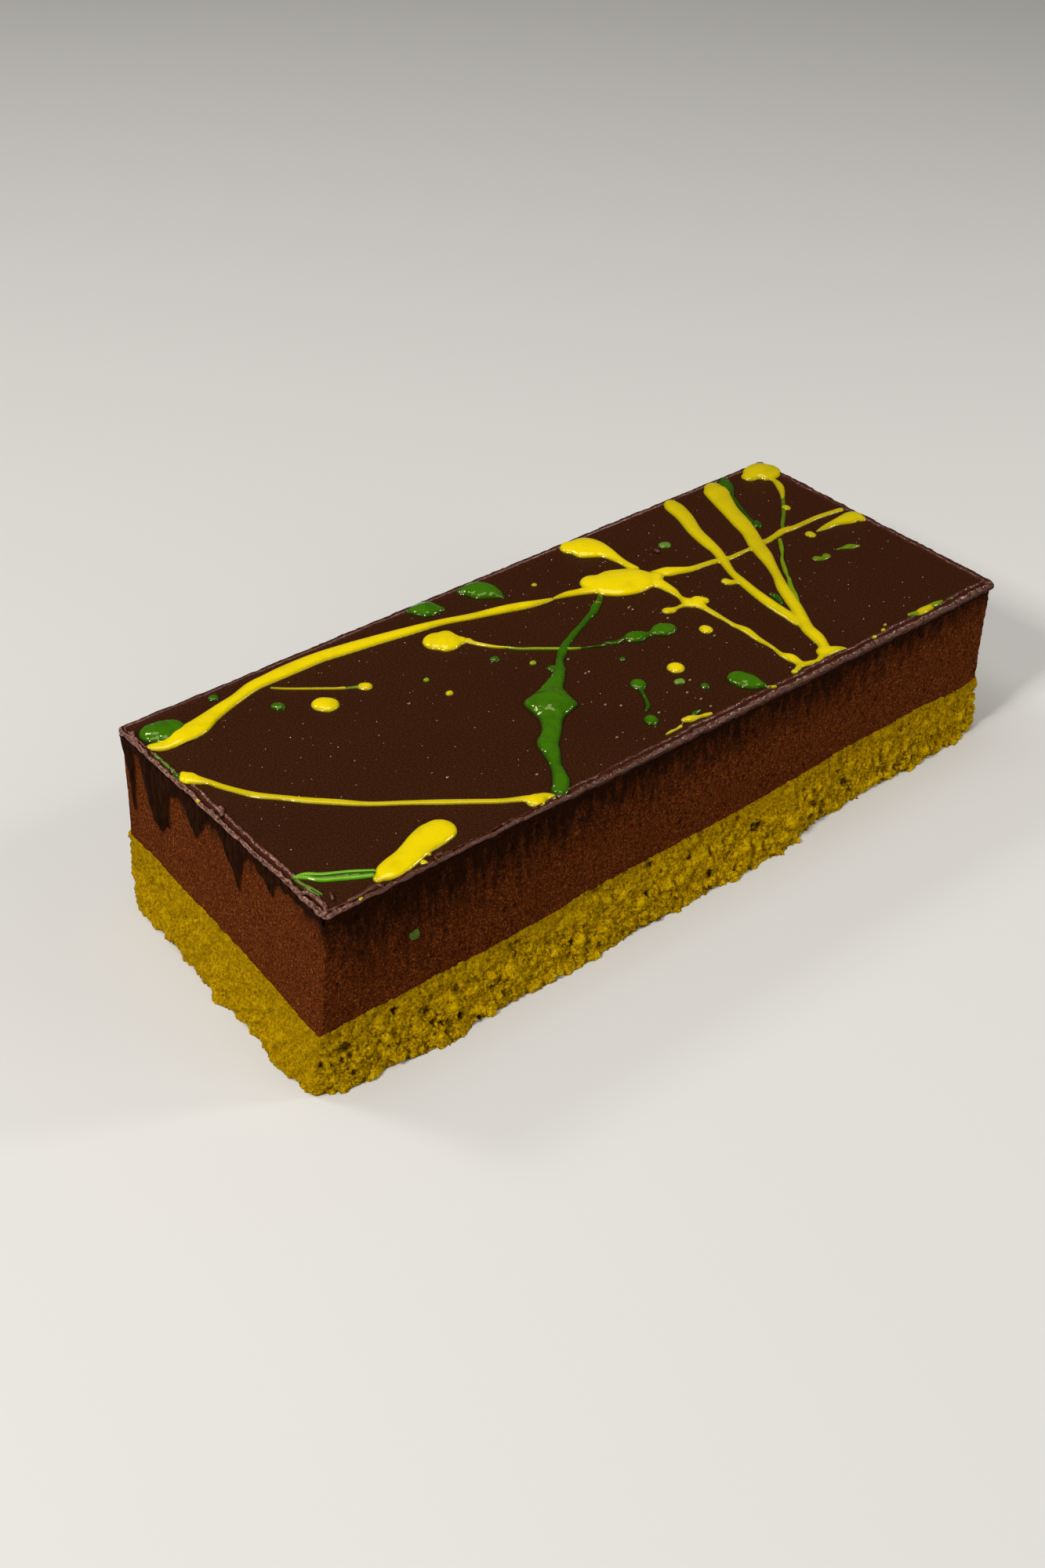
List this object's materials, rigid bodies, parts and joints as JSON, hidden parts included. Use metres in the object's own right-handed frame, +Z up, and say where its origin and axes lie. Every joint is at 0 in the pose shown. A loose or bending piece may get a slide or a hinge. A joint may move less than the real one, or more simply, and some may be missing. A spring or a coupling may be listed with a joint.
{
  "type": "layered mousse cake bar",
  "caption": "Bar-shaped layer cake: yellow sponge base, thick chocolate mousse, thin dark chocolate glaze with a rolled rim and yellow and green drizzle.",
  "frame": {"origin": "middle of the cake's box, on the surface that it stands on", "axes": "+X along the length, +Z up, the left end with the glaze runs at -X, the long face shown in the picture at -Y"},
  "size_m": [0.1885, 0.0798, 0.042],
  "materials": {
    "sponge": "open, dry yellow crumb",
    "mousse": "fine-pored cut chocolate mousse",
    "glaze": "set dark chocolate glaze, satin",
    "yellow_drizzle": "wet-looking coloured sugar glaze",
    "green_drizzle": "wet-looking coloured sugar glaze"
  },
  "bodies": {
    "root": {"sponge_base": "sponge", "chocolate_mousse": "mousse", "chocolate_glaze": "glaze"}
  },
  "joints": []
}
